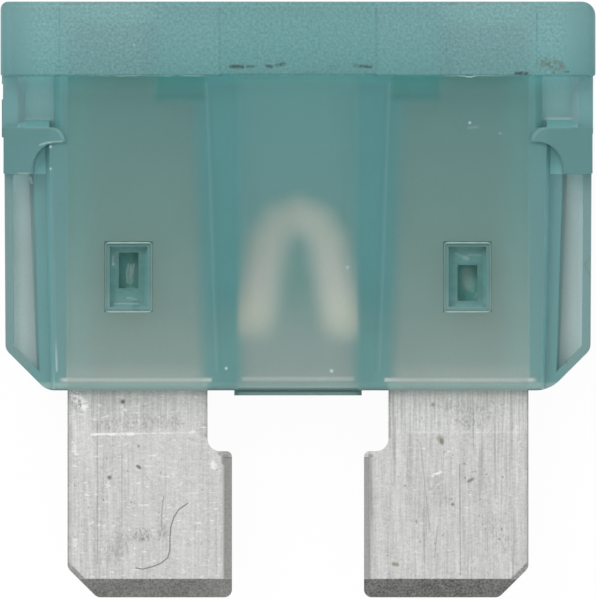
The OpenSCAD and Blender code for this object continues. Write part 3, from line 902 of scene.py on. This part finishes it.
    def milkiness(self, at: Surface, from_rib: Value, pocket: Value) -> Value:
        """Share of the light that the skin scatters: most in thick plastic, least in front of the strip.

        Args:
            at: the point on the fuse.
            from_rib: distance across, less the lean of the slots' inner sides.
            pocket: mask of the stakes' pockets.

        Returns:
            The share.
        """
        blade = self.before_blade(at, from_rib, 0.1)
        share = blade * (self.blade_share - self.thick_share) + self.thick_share
        share = share.shift(self.chamber_share, at.side.rise(self.chamber_x, 1.6))
        share = share.shift(self.notch_share, at.box(*self.notch_box, 0.35, at.side))
        share = share.shift(self.head_share, self.on_head(at))
        mouth = at.h.band(-0.06, 0.09, 0.03) * at.side.rise(self.mouth_x, self.mouth_x - 0.05)
        share = share.shift(self.pocket_share, mouth)
        low, high = self.inside_h
        inside = at.depth.rise(self.inside_depth + 0.01, self.inside_depth)
        inside = inside * at.side.rise(self.inside_x, self.inside_x - 0.01)
        inside = inside * at.h.rise(low, low + 0.01) * at.h.rise(high, high - 0.01)
        return (share * (1.0 - inside)).shift(self.pocket_share, pocket)

    def material(self, origin: Origin) -> bpy.types.Material:
        """Builds the material.

        Args:
            origin: where the finish counts from.

        Returns:
            The material.
        """
        material, graph = new_material("tinted_plastic")
        at = Surface(graph, origin)
        from_rib = at.side + (10.0 - at.h) * self.lean
        pocket = at.box(*self.pocket_box, 0.02, at.side)
        colour = self.paint(at, from_rib, pocket)
        milky = graph.principled({"Base Color": colour, "Roughness": self.milky_roughness, "IOR": self.ior})
        clear = graph.principled(
            {
                "Base Color": self.clear_tint,
                "Roughness": self.clear_roughness,
                "IOR": self.ior,
                "Transmission Weight": 1.0,
            }
        )
        both = graph.mix_shader(self.milkiness(at, from_rib, pocket), clear, milky)
        inputs = {"Color": self.body_tint, "Density": self.density}
        volume = graph.node("ShaderNodeVolumeAbsorption", {}, inputs).outputs[0]
        graph.node("ShaderNodeOutputMaterial", {}, {"Surface": both, "Volume": volume})
        return material


@dataclass(frozen=True)
class ZincAlloy:
    """Dull zinc strip, streaked along the blades, pitted and scratched, with painted shade and reflection tones at
    its edges.
    """

    face: Colour = (0.53, 0.535, 0.52)
    bright: Colour = (0.85, 0.85, 0.85)
    # Dark marks, and the painted shade and shadow on the faces.
    dark: Colour = (0.10, 0.10, 0.095)
    # Grey of the cut edges, darkened further as painted shade.
    sheared_and_shade: Colour = (0.17, 0.17, 0.165)
    # Painted reflection tones of the pressed inner edges, by how each slope faces the light.
    pressed_left_sheen: Colour = (0.59, 0.595, 0.58)
    pressed_low_sheen: Colour = (0.60, 0.60, 0.59)
    pressed_right_sheen: Colour = (0.97, 0.97, 0.96)
    # Painted shade for the shelves and beside the pressed edges.
    corner: Colour = (0.26, 0.26, 0.255)
    olive: Colour = (0.20, 0.20, 0.13)
    element: Colour = (0.9, 0.9, 0.84)
    metallic: float = 1.0
    roughness: float = 0.42
    relief: float = 0.25
    relief_height: float = 0.01 * MM
    streaks: Grain = Grain(15.0, 0.6, detail=3.0, rough=0.65)
    broad: Grain = Grain(2.6, 0.3, rough=0.5)
    scales: Grain = Grain(5.0, 14.0)
    dashes: Grain = Grain(4.0, 12.0, 2.0, rough=0.5)
    grooves: Grain = Grain(7.0, 0.22, 9.0)
    specks: Grain = Grain(9.0, 7.0, 5.0, rough=0.5)
    soot: Grain = Grain(16.0, 8.0, detail=3.0)
    grain_scale: float = 14.0
    blotch_scale: float = 2.2
    relief_scales: tuple[float, float, float] = (12.0, 2.0, 12.0)
    hidden_h: float = 0.2
    neck_h: float = -1.5
    neck_x: float = 2.93
    shelf_h: float = -2.0
    tip_h: float = -6.1
    inner_x: float = 2.0
    inner_face_x: float = 2.33
    left_pressed_x: float = -2.43
    right_pressed_x: float = 2.27
    outer_x: float = 7.42
    cut_corner: float = 12.98
    face_depth: float = 0.32
    pits: tuple[Stroke, ...] = (
        Stroke(((-5.65, -0.37),), 0.14, 0.85),
        Stroke(((-6.08, -2.81),), 0.14, 0.75),
        Stroke(((-5.17, -2.45), (-5.11, -2.49)), 0.1, 0.75),
        Stroke(((-5.14, -1.8),), 0.09, 0.5),
        Stroke(((-5.38, -3.61),), 0.06, 0.6),
        Stroke(((4.62, -1.6), (4.64, -1.68)), 0.12, 0.6),
        Stroke(((4.35, -0.47),), 0.12, 0.5),
        Stroke(((5.5, -2.94), (5.63, -2.86)), 0.1, 0.6),
        Stroke(((4.99, -3.68),), 0.1, 0.7),
        Stroke(((6.08, -2.71),), 0.06, 0.5),
        Stroke(((6.57, -4.49),), 0.08, 0.5),
        Stroke(((6.5, -4.8),), 0.08, 0.5),
    )
    smudges: tuple[Stroke, ...] = (
        Stroke(((-5.15, -4.65), (-4.95, -4.7)), 0.4, 0.6),
        Stroke(((-4.4, -4.5), (-4.35, -4.62)), 0.3, 0.45),
        Stroke(((-6.0, -5.2), (-5.7, -4.9)), 0.7, 0.3),
        Stroke(((-6.4, -1.1), (-3.9, -1.0)), 0.45, 0.3),
        Stroke(((4.9, -0.6), (6.1, -0.75)), 0.5, 0.32),
        Stroke(((5.2, -1.0), (5.9, -1.1)), 0.35, 0.4),
        Stroke(((4.4, -3.0), (4.6, -3.6)), 0.5, 0.25),
        Stroke(((6.3, -4.2), (6.7, -5.0)), 0.5, 0.25),
        Stroke(((-7.35, -0.1), (-7.0, -0.5)), 0.35, 0.6),
    )
    hairs: tuple[Stroke, ...] = (
        Stroke(
            (
                (-5.22, -5.73),
                (-5.0, -5.77),
                (-4.67, -5.68),
                (-4.42, -5.58),
                (-4.2, -5.4),
                (-4.13, -5.15),
                (-4.13, -4.8),
                (-4.1, -4.4),
                (-4.0, -4.09),
                (-3.84, -3.84),
                (-3.55, -3.64),
            ),
            0.04,
            0.7,
        ),
        Stroke(((-4.33, -3.42), (-4.38, -3.77), (-4.41, -4.41)), 0.035, 0.45),
        Stroke(((-6.47, 0.0), (-6.47, -5.6)), 0.03, 0.3),
        Stroke(((-5.68, -1.6), (-5.68, -4.4)), 0.03, 0.25),
        Stroke(((3.95, -1.7), (4.25, -4.5)), 0.035, 0.3),
        Stroke(((4.5, -4.4), (4.4, -5.4)), 0.035, 0.3),
        Stroke(((5.21, -2.4), (5.24, -5.9)), 0.04, 0.35),
    )
    scores: tuple[Stroke, ...] = (
        Stroke(((-6.66, -1.42), (-5.3, -1.41)), 0.08, 0.75),
        Stroke(((-5.5, -1.41), (-3.39, -1.36)), 0.045, 0.4),
        Stroke(((3.6, -1.35), (7.14, -1.35)), 0.045, 0.2),
    )
    dabs: tuple[Stroke, ...] = (
        Stroke(((-7.35, 0.05), (-6.9, -0.5)), 0.28, 1.0),
        Stroke(((-7.25, -0.3), (-6.8, -0.6)), 0.12, 0.7),
        Stroke(((-2.75, -2.4),), 0.26, 0.6),
        Stroke(((4.35, -2.75), (4.62, -2.62)), 0.08, 0.8),
        Stroke(((-7.2, -2.0), (-7.25, -1.7)), 0.12, 0.4),
        Stroke(((-7.2, -4.7), (-7.15, -5.1)), 0.14, 0.35),
    )
    shades: tuple[Stroke, ...] = (
        Stroke(((-2.5, -2.03), (-2.3, -2.1)), 0.16, 0.5),
        Stroke(((-2.42, -2.1), (-2.42, -2.34)), 0.1, 0.5),
        Stroke(((-2.42, -1.99), (-2.2, -1.99)), 0.14, 0.6),
    )
    stains: tuple[Stroke, ...] = (
        Stroke(((3.08, -5.6), (3.2, -5.62)), 0.12, 0.7),
        Stroke(((4.57, -1.54), (4.62, -1.62)), 0.2, 0.45),
    )

    def brush(self, at: Surface, paint: Paint, grain: Value, scaly: Value, blotch: Value) -> None:
        """Lays the streaks and the grain of the rolled metal, and its small marks.

        Args:
            at: the point on the fuse.
            paint: what they are laid on.
            grain: fine noise around 0.5.
            scaly: noise around 0.5 in short rows across.
            blotch: broad noise around 0.5.
        """
        left = at.x.rise(-6.5, -4.5) * at.x.rise(0.0, -0.1)
        brushed = left * -0.25 + 0.62 + at.h.rise(self.neck_h, self.neck_h + 0.3) * 0.3
        tone = 1.0 + (at.grain(self.streaks) - 0.5) * brushed + (at.grain(self.broad) - 0.5) * 0.25
        tone = tone + (blotch - 0.5) * 0.12 + (grain - 0.5) * 0.55 + (scaly - 0.5) * 0.3
        paint.shade(1.0, tone + at.h.rise(self.neck_h, self.neck_h + 0.2) * at.right * 0.06)
        paint.lay((at.grain(self.dashes) - at.right * 0.05 - 0.63).rise(0.0, 0.08) * 0.5, self.bright)
        paint.lay(at.grain(self.grooves).rise(0.57, 0.72) * (at.right * 0.14 + 0.12), self.dark)
        paint.lay(at.grain(self.specks).rise(0.68, 0.76) * 0.5, self.dark)

    def mark(self, at: Surface, paint: Paint, broken: Value) -> None:
        """Lays the wear of the front: soot, pits, scratches and stains.

        Args:
            at: the point on the fuse.
            paint: what they are laid on.
            broken: mask that breaks the bright scratches up.
        """
        soot = at.grain(self.soot).rise(0.40, 0.66)
        paint.lay(at.front * at.strokes(self.smudges) * soot, self.dark)
        paint.lay(at.front * at.strokes(self.pits), self.dark)
        paint.lay(at.front * at.strokes(self.hairs), self.dark)
        paint.lay(at.front * at.strokes(self.stains), self.olive)
        paint.lay(at.front * at.strokes(self.scores) * (broken * 0.45 + 0.55), self.bright)
        paint.lay(at.front * at.strokes(self.dabs) * broken, self.bright)

    def press(self, at: Surface, paint: Paint) -> None:
        """Lays the blades' pressed inner edges under the shelves, in painted reflection tones, with painted shade
        at the shelves and along the edges.

        Args:
            at: the point on the fuse.
            paint: what they are laid on.
        """
        under = at.h.rise(self.shelf_h + 0.05, self.shelf_h - 0.05)
        left = at.x.band(self.left_pressed_x, -self.inner_x, 0.03) * under
        right = at.x.band(self.inner_x, self.right_pressed_x, 0.02) * under
        # Painted reflection tones: the left pressed edge grey, the right one bright.
        paint.lay(left, at.graph.mix(at.side.rise(2.36, 2.1), self.pressed_left_sheen, self.pressed_low_sheen))
        paint.lay(right, self.pressed_right_sheen)
        # Painted shade beside the right pressed edge, below and at the shelves, and along the faces by the pressed
        # edges.
        beside = at.x.band(self.right_pressed_x + 0.01, self.right_pressed_x + 0.09, 0.02)
        paint.lay(beside * at.h.rise(self.shelf_h, self.shelf_h - 0.1) * 0.45, self.corner)
        below = at.box((self.inner_x, 2.42), (self.shelf_h - 0.16, self.shelf_h - 0.06), 0.02, at.side)
        paint.lay(below * 0.6, self.corner)
        paint.lay(at.front * at.strokes(self.shades), self.sheared_and_shade)
        face = at.side.band(self.inner_face_x, self.inner_face_x + 0.17, 0.08)
        face = face * at.h.band(self.tip_h + 0.05, self.shelf_h - 0.1, 0.1)
        paint.lay(face * 0.12, self.dark)
        shelf = at.box((self.inner_x, 2.3), (self.shelf_h - 0.1, self.shelf_h + 0.1), 0.1, at.side)
        paint.lay(shelf * 0.5, self.corner)

    def shear(self, at: Surface, paint: Paint, grain: Value, blotch: Value) -> None:
        """Lays the rough grey of the blades' cut edges: the tips, the sides and the cut-off corners, darkened
        further as painted shade.

        Args:
            at: the point on the fuse.
            paint: what it is laid on.
            grain: fine noise around 0.5.
            blotch: broad noise around 0.5.
        """
        graph = at.graph
        mottle = graph.grey(1.0 + (grain - 0.5) * 2.6 + (blotch - 0.5) * 0.7)
        sheared_and_shade = graph.product(self.sheared_and_shade, mottle)
        # The tips are partly the cut metal's own grey and partly painted shade from the dark surroundings that
        # they reflect.
        paler = at.x.rise(1.0, -1.0) * (0.085 + at.x.rise(-3.4, -2.4) * 0.1)
        paint.lay(at.h.rise(self.tip_h + 0.04, self.tip_h), graph.mix(paler, sheared_and_shade, self.face))
        # Painted dark edge along the outer sides, the cut-off corners and the neck; the strip's side walls get the
        # cut grey.
        rough = at.side.rise(self.outer_x - 0.18, self.outer_x - 0.02) * (blotch + grain).rise(0.85, 1.15)
        sides = at.side.rise(self.outer_x - 0.06, self.outer_x)
        corners = (at.side - at.h).rise(self.cut_corner - 0.1, self.cut_corner)
        outline = (rough * 0.5).most(sides.most(corners) * 0.7)
        neck = at.side.rise(self.neck_x + 0.12, self.neck_x) * at.h.rise(self.neck_h - 0.1, self.neck_h)
        outline = outline.most(neck * 0.45)
        edge = at.depth.rise(self.face_depth, self.face_depth - 0.03)
        bare = at.h.rise(0.5, 0.0) * at.h.rise(self.tip_h, self.tip_h + 0.05)
        paint.lay(outline.most(edge * 0.6) * bare, sheared_and_shade)

    def paint(self, at: Surface) -> Socket:
        """Draws the metal's colour.

        Args:
            at: the point on the fuse.

        Returns:
            The colour.
        """
        paint = Paint(at.graph, self.face)
        grain = at.graph.noise(at.point, self.grain_scale, 2.0, 0.75)
        scaly = at.grain(self.scales)
        blotch = at.graph.noise(at.point, self.blotch_scale, 3.0, 0.6)
        self.brush(at, paint, grain, scaly, blotch)
        self.mark(at, paint, (grain + scaly).rise(0.82, 1.05))
        self.press(at, paint)
        self.shear(at, paint, grain, blotch)
        # Painted shadow that the body casts on the blades just below it.
        painted_body_shadow = at.h.rise(-0.26, -0.02) * at.h.rise(0.3, 0.0)
        paint.lay(painted_body_shadow * 0.36, self.dark)
        return paint.colour

    def material(self, origin: Origin) -> bpy.types.Material:
        """Builds the material.

        Args:
            origin: where the finish counts from.

        Returns:
            The material.
        """
        material, graph = new_material("zinc_alloy")
        at = Surface(graph, origin)
        across, along, through = self.relief_scales
        point = graph.vector(at.x * across, at.h * along, at.z * through)
        relief = graph.noise(point, 1.0, 3.0, 0.6)
        inputs = {"Strength": self.relief, "Distance": self.relief_height, "Height": relief}
        bump = graph.node("ShaderNodeBump", {}, inputs).outputs[0]
        metal = {"Metallic": self.metallic, "Roughness": self.roughness}
        bare = graph.principled({**metal, "Base Color": self.paint(at), "Normal": bump})
        inner = graph.mix(at.side.rise(self.inner_x + 0.2, self.inner_x), self.face, self.element)
        housed = graph.principled({**metal, "Base Color": inner})
        both = graph.mix_shader(at.h.rise(self.hidden_h + 0.01, self.hidden_h), housed, bare)
        graph.node("ShaderNodeOutputMaterial", {}, {"Surface": both})
        return material


@dataclass(frozen=True)
class PaleEdge:
    """Thin plastic that was squeezed out past an edge: pale, and uneven along its length. Its pale colour is
    partly a painted highlight that the thin edge catches.
    """

    # Pale is partly a painted highlight on the thin edge.
    pale: Colour = (0.27, 0.42, 0.39)
    deep: Colour = (0.12, 0.26, 0.24)
    roughness: float = 0.35
    ior: float = 1.5
    scale: float = 0.9 / MM

    def material(self, name: str, patchy: float) -> bpy.types.Material:
        """Builds the material.

        Args:
            name: the material's name.
            patchy: how much of the edge stays deep in colour, from 0 to 1.

        Returns:
            The material.
        """
        material, graph = new_material(name)
        point = graph.node("ShaderNodeTexCoord", {}, {}).outputs["Object"]
        along = graph.noise(point, self.scale, 3.0, 0.6)
        pale = along.rise(0.15 + patchy * 0.4, 0.45 + patchy * 0.3)
        colour = graph.mix(pale, self.deep, self.pale)
        shader = graph.principled({"Base Color": colour, "Roughness": self.roughness, "IOR": self.ior})
        graph.node("ShaderNodeOutputMaterial", {}, {"Surface": shader})
        return material


@dataclass
class Beads:
    """A mesh of round beads that run along paths in the frame."""

    name: str
    around: int = 10
    points: list = field(default_factory=list)
    faces: list = field(default_factory=list)
    count: int = 0

    def run(self, path: np.ndarray, radius: np.ndarray, closed: bool) -> None:
        """Sweeps a circle along a path.

        The ring at a path point p with the unit tangent t is p + r * (cos(a) * u + sin(a) * v). There
        u = t x z / |t x z| and v = u x t, for the front's normal z. An open bead has a flat cap at each end.

        Args:
            path: points in metres, one a row.
            radius: the bead's radius at each.
            closed: whether the last point joins the first.
        """
        if closed:
            tangent = np.roll(path, -1, axis=0) - np.roll(path, 1, axis=0)
        else:
            tangent = np.gradient(path, axis=0)
        tangent /= np.linalg.norm(tangent, axis=1, keepdims=True)
        aside = np.cross(tangent, (0.0, 0.0, 1.0))
        aside /= np.linalg.norm(aside, axis=1, keepdims=True)
        out = np.cross(aside, tangent)
        angle = np.arange(self.around) * (2 * np.pi / self.around)
        ring = np.cos(angle)[None, :, None] * aside[:, None] + np.sin(angle)[None, :, None] * out[:, None]
        points = path[:, None] + radius[:, None, None] * ring
        rows = len(path)
        index = np.arange(rows * self.around).reshape(rows, self.around)
        start = index if closed else index[:-1]
        after = np.roll(index, -1, axis=0) if closed else index[1:]
        quads = np.stack((start, after, np.roll(after, -1, axis=1), np.roll(start, -1, axis=1)), axis=-1)
        self.faces += (quads.reshape(-1, 4) + self.count).tolist()
        if not closed:
            self.faces += [(index[0] + self.count).tolist(), (index[-1, ::-1] + self.count).tolist()]
        self.points.append(points.reshape(-1, 3))
        self.count += rows * self.around

    def place(self, material: bpy.types.Material) -> None:
        """Makes the object, smooth and with one material, and lets it ride on the fuse."""
        mesh = bpy.data.meshes.new(self.name)
        mesh.from_pydata(np.concatenate(self.points).tolist(), [], self.faces)
        mesh.polygons.foreach_set("use_smooth", np.ones(len(mesh.polygons), dtype=bool))
        mesh.materials.append(material)
        piece = bpy.data.objects.new(self.name, mesh)
        bpy.context.scene.collection.objects.link(piece)
        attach(piece, "root")
        LOG.info("made %s", self.name)


@dataclass(frozen=True)
class StakeBurrs:
    """Rims raised round the stakes' pockets, high along their tops and bottoms and low along their sides."""

    middle_x: float = 5.45
    half_x: float = 0.74
    low_h: float = 2.53
    high_h: float = 4.75
    face_z: float = 1.8
    face_lean: float = 0.1 / 10.12
    high_radius: float = 0.034
    low_radius: float = 0.006
    squareness: int = 24
    steps: int = 240
    ripples: int = 9
    patchy: float = 0.15

    def build(self, origin: Origin) -> None:
        """Runs a bead round each of the four pockets.

        The bead follows |u|^n + |v|^n = 1. There u and v run across and along the pocket's halves, and n is
        the squareness.

        Args:
            origin: where h and z are counted from.
        """
        beads = Beads("stake_burrs")
        angle = np.linspace(0.0, 2 * np.pi, self.steps, endpoint=False)
        power = self.squareness
        bow = (np.abs(np.cos(angle)) ** power + np.abs(np.sin(angle)) ** power) ** (-1 / power)
        across, along = bow * np.cos(angle), bow * np.sin(angle)
        h = (self.high_h + self.low_h) / 2 + along * (self.high_h - self.low_h) / 2
        level = np.clip((np.abs(along) - 0.9) / 0.08, 0.0, 1.0)
        level = level * np.clip((1.02 - np.abs(across)) / 0.2, 0.0, 1.0)
        ripple = 0.85 + 0.15 * np.cos(angle * self.ripples)
        radius = self.low_radius + (self.high_radius - self.low_radius) * level * ripple
        for side in (-1, 1):
            for front in (-1, 1):
                z = front * (self.face_z + self.face_lean * h)
                path = np.stack((side * self.middle_x + across * self.half_x, h, z), axis=1) * MM
                beads.run(path + (0.0, origin.underside_y, origin.middle_z), radius * MM, True)
        beads.place(PaleEdge().material("stake_burr_plastic", self.patchy))


@dataclass(frozen=True)
class HeadFlash:
    """Thin wavy flash that hangs from the head's lower front edge over the blades."""

    runs: tuple[Point, ...] = ((-6.95, -2.95), (4.55, 7.2))
    edge_h: float = 10.12
    edge_z: float = 2.49
    radius: float = 0.022
    steps: int = 120
    taper: float = 0.4
    sway: float = 0.012
    drop_x: float = 5.54
    drop_width: float = 0.16
    drop: float = 0.05
    patchy: float = 0.6

    def build(self, origin: Origin) -> None:
        """Runs one bead along each stretch, sagging and swelling as it goes.

        Args:
            origin: where h and z are counted from.
        """
        beads = Beads("head_flash", 8)
        for left, right in self.runs:
            x = np.linspace(left, right, self.steps)
            ends = np.clip(np.minimum(x - left, right - x) / self.taper, 0.0, 1.0)
            wave = np.sin(x * 5.3) * 0.6 + np.sin(x * 11.9 + 1.0) * 0.4
            sag = np.exp(-(((x - self.drop_x) / self.drop_width) ** 2)) * self.drop
            h = self.edge_h - self.sway * wave - sag
            path = np.stack((x, h, np.full_like(x, self.edge_z)), axis=1) * MM
            radius = self.radius * (0.15 + 0.85 * ends) * (0.85 + 0.25 * wave) + sag * 0.3
            beads.run(path + (0.0, origin.underside_y, origin.middle_z), np.abs(radius) * MM, False)
        beads.place(PaleEdge().material("head_flash_plastic", self.patchy))


@dataclass
class Fuse:
    """Both CAD nodes of the fuse, with their finishes."""

    lip_h: float = 0.16 * MM
    plastic: TintedPlastic = TintedPlastic()
    zinc: ZincAlloy = ZincAlloy()

    def __post_init__(self) -> None:
        """Reads where the finishes count from."""
        low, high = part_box("housing")
        self.origin = Origin(low.y + self.lip_h, (low.z + high.z) / 2)

    def dress(self) -> None:
        """Gives each CAD node its finish."""
        for name, finish, slot in (
            ("housing", self.plastic, Finish.PLASTIC),
            ("fuse_strip", self.zinc, Finish.ZINC),
        ):
            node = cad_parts[name]
            node.data.materials.clear()
            node.data.materials.append(finish.material(self.origin))
            LOG.info("dressed %s", name)


@dataclass
class Studio:
    """Floor, light and camera."""

    camera_height: float = 0.6
    view_width: float = 19.145 * MM
    view_centre: Point = (0.0, 0.0)
    sensor: float = 36.0
    clip: Point = (0.01, 10.0)
    front_z: float = 5.1 * MM
    floor_half: float = 0.5
    shadow_share: float = 0.05
    white: Colour = (1.0, 1.0, 1.0)
    sky_zenith: float = 1.0
    sky_horizon: float = 0.6
    sky_rise: Point = (0.1, 0.8)
    lamp_place: tuple[float, float, float] = (-0.12, 0.16, 0.3)
    lamp_size: float = 0.2
    lamp_power: float = 0.35

    def floor(self) -> None:
        """Lays the white floor."""
        half = self.floor_half
        mesh = bpy.data.meshes.new("floor")
        corners = [(-half, -half, 0), (half, -half, 0), (half, half, 0), (-half, half, 0)]
        mesh.from_pydata(corners, [], [(0, 1, 2, 3)])
        material, graph = new_material("white_floor")
        seen = graph.rays("Is Camera Ray", "Is Glossy Ray", "Is Transmission Ray")
        matt = graph.node("ShaderNodeBsdfDiffuse", {}, {"Color": self.white}).outputs[0]
        lit = graph.node("ShaderNodeEmission", {}, {"Color": self.white, "Strength": 1.0}).outputs[0]
        both = graph.mix_shader(seen * (1.0 - self.shadow_share), matt, lit)
        graph.node("ShaderNodeOutputMaterial", {}, {"Surface": both})
        mesh.materials.append(material)
        floor = bpy.data.objects.new("floor", mesh)
        bpy.context.scene.collection.objects.link(floor)

    def sky(self) -> None:
        """Sets a soft sky that is brightest overhead, and plain white where the camera sees it."""
        world = bpy.data.worlds.new("studio")
        world.use_nodes = True
        graph = Graph(world.node_tree)
        up = graph.axes(graph.node("ShaderNodeTexCoord", {}, {}).outputs["Generated"])[2]
        light = up.rise(*self.sky_rise) * (self.sky_zenith - self.sky_horizon) + self.sky_horizon
        strength = light.shift(1.0, graph.rays("Is Camera Ray"))
        sky = graph.node("ShaderNodeBackground", {}, {"Color": self.white, "Strength": strength})
        graph.node("ShaderNodeOutputWorld", {}, {"Surface": sky.outputs[0]})
        bpy.context.scene.world = world

    def lamp(self) -> None:
        """Hangs one soft lamp over the head's left end."""
        data = bpy.data.lights.new("soft_lamp", "AREA")
        data.shape = "DISK"
        data.size = self.lamp_size
        data.energy = self.lamp_power
        lamp = bpy.data.objects.new("soft_lamp", data)
        lamp.location = self.lamp_place
        lamp.rotation_euler = (-lamp.location).to_track_quat("-Z", "Y").to_euler()
        bpy.context.scene.collection.objects.link(lamp)

    def camera(self) -> None:
        """Points a long lens straight down at the fuse."""
        data = bpy.data.cameras.new("camera")
        data.sensor_fit = "HORIZONTAL"
        data.sensor_width = self.sensor
        data.lens = self.sensor * (self.camera_height - self.front_z) / self.view_width
        data.clip_start, data.clip_end = self.clip
        camera = bpy.data.objects.new("camera", data)
        camera.location = Vector((*self.view_centre, self.camera_height))
        bpy.context.scene.collection.objects.link(camera)
        bpy.context.scene.camera = camera

    def build(self) -> None:
        """Builds the whole studio."""
        self.camera()
        self.floor()
        self.sky()
        self.lamp()
        bpy.context.scene.view_settings.view_transform = "Standard"


def main() -> None:
    """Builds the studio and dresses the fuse."""
    logging.basicConfig(level=logging.INFO, format="%(message)s")
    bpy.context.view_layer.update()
    Studio().build()
    fuse = Fuse()
    fuse.dress()
    StakeBurrs().build(fuse.origin)
    HeadFlash().build(fuse.origin)


if __name__ == "__main__":
    main()
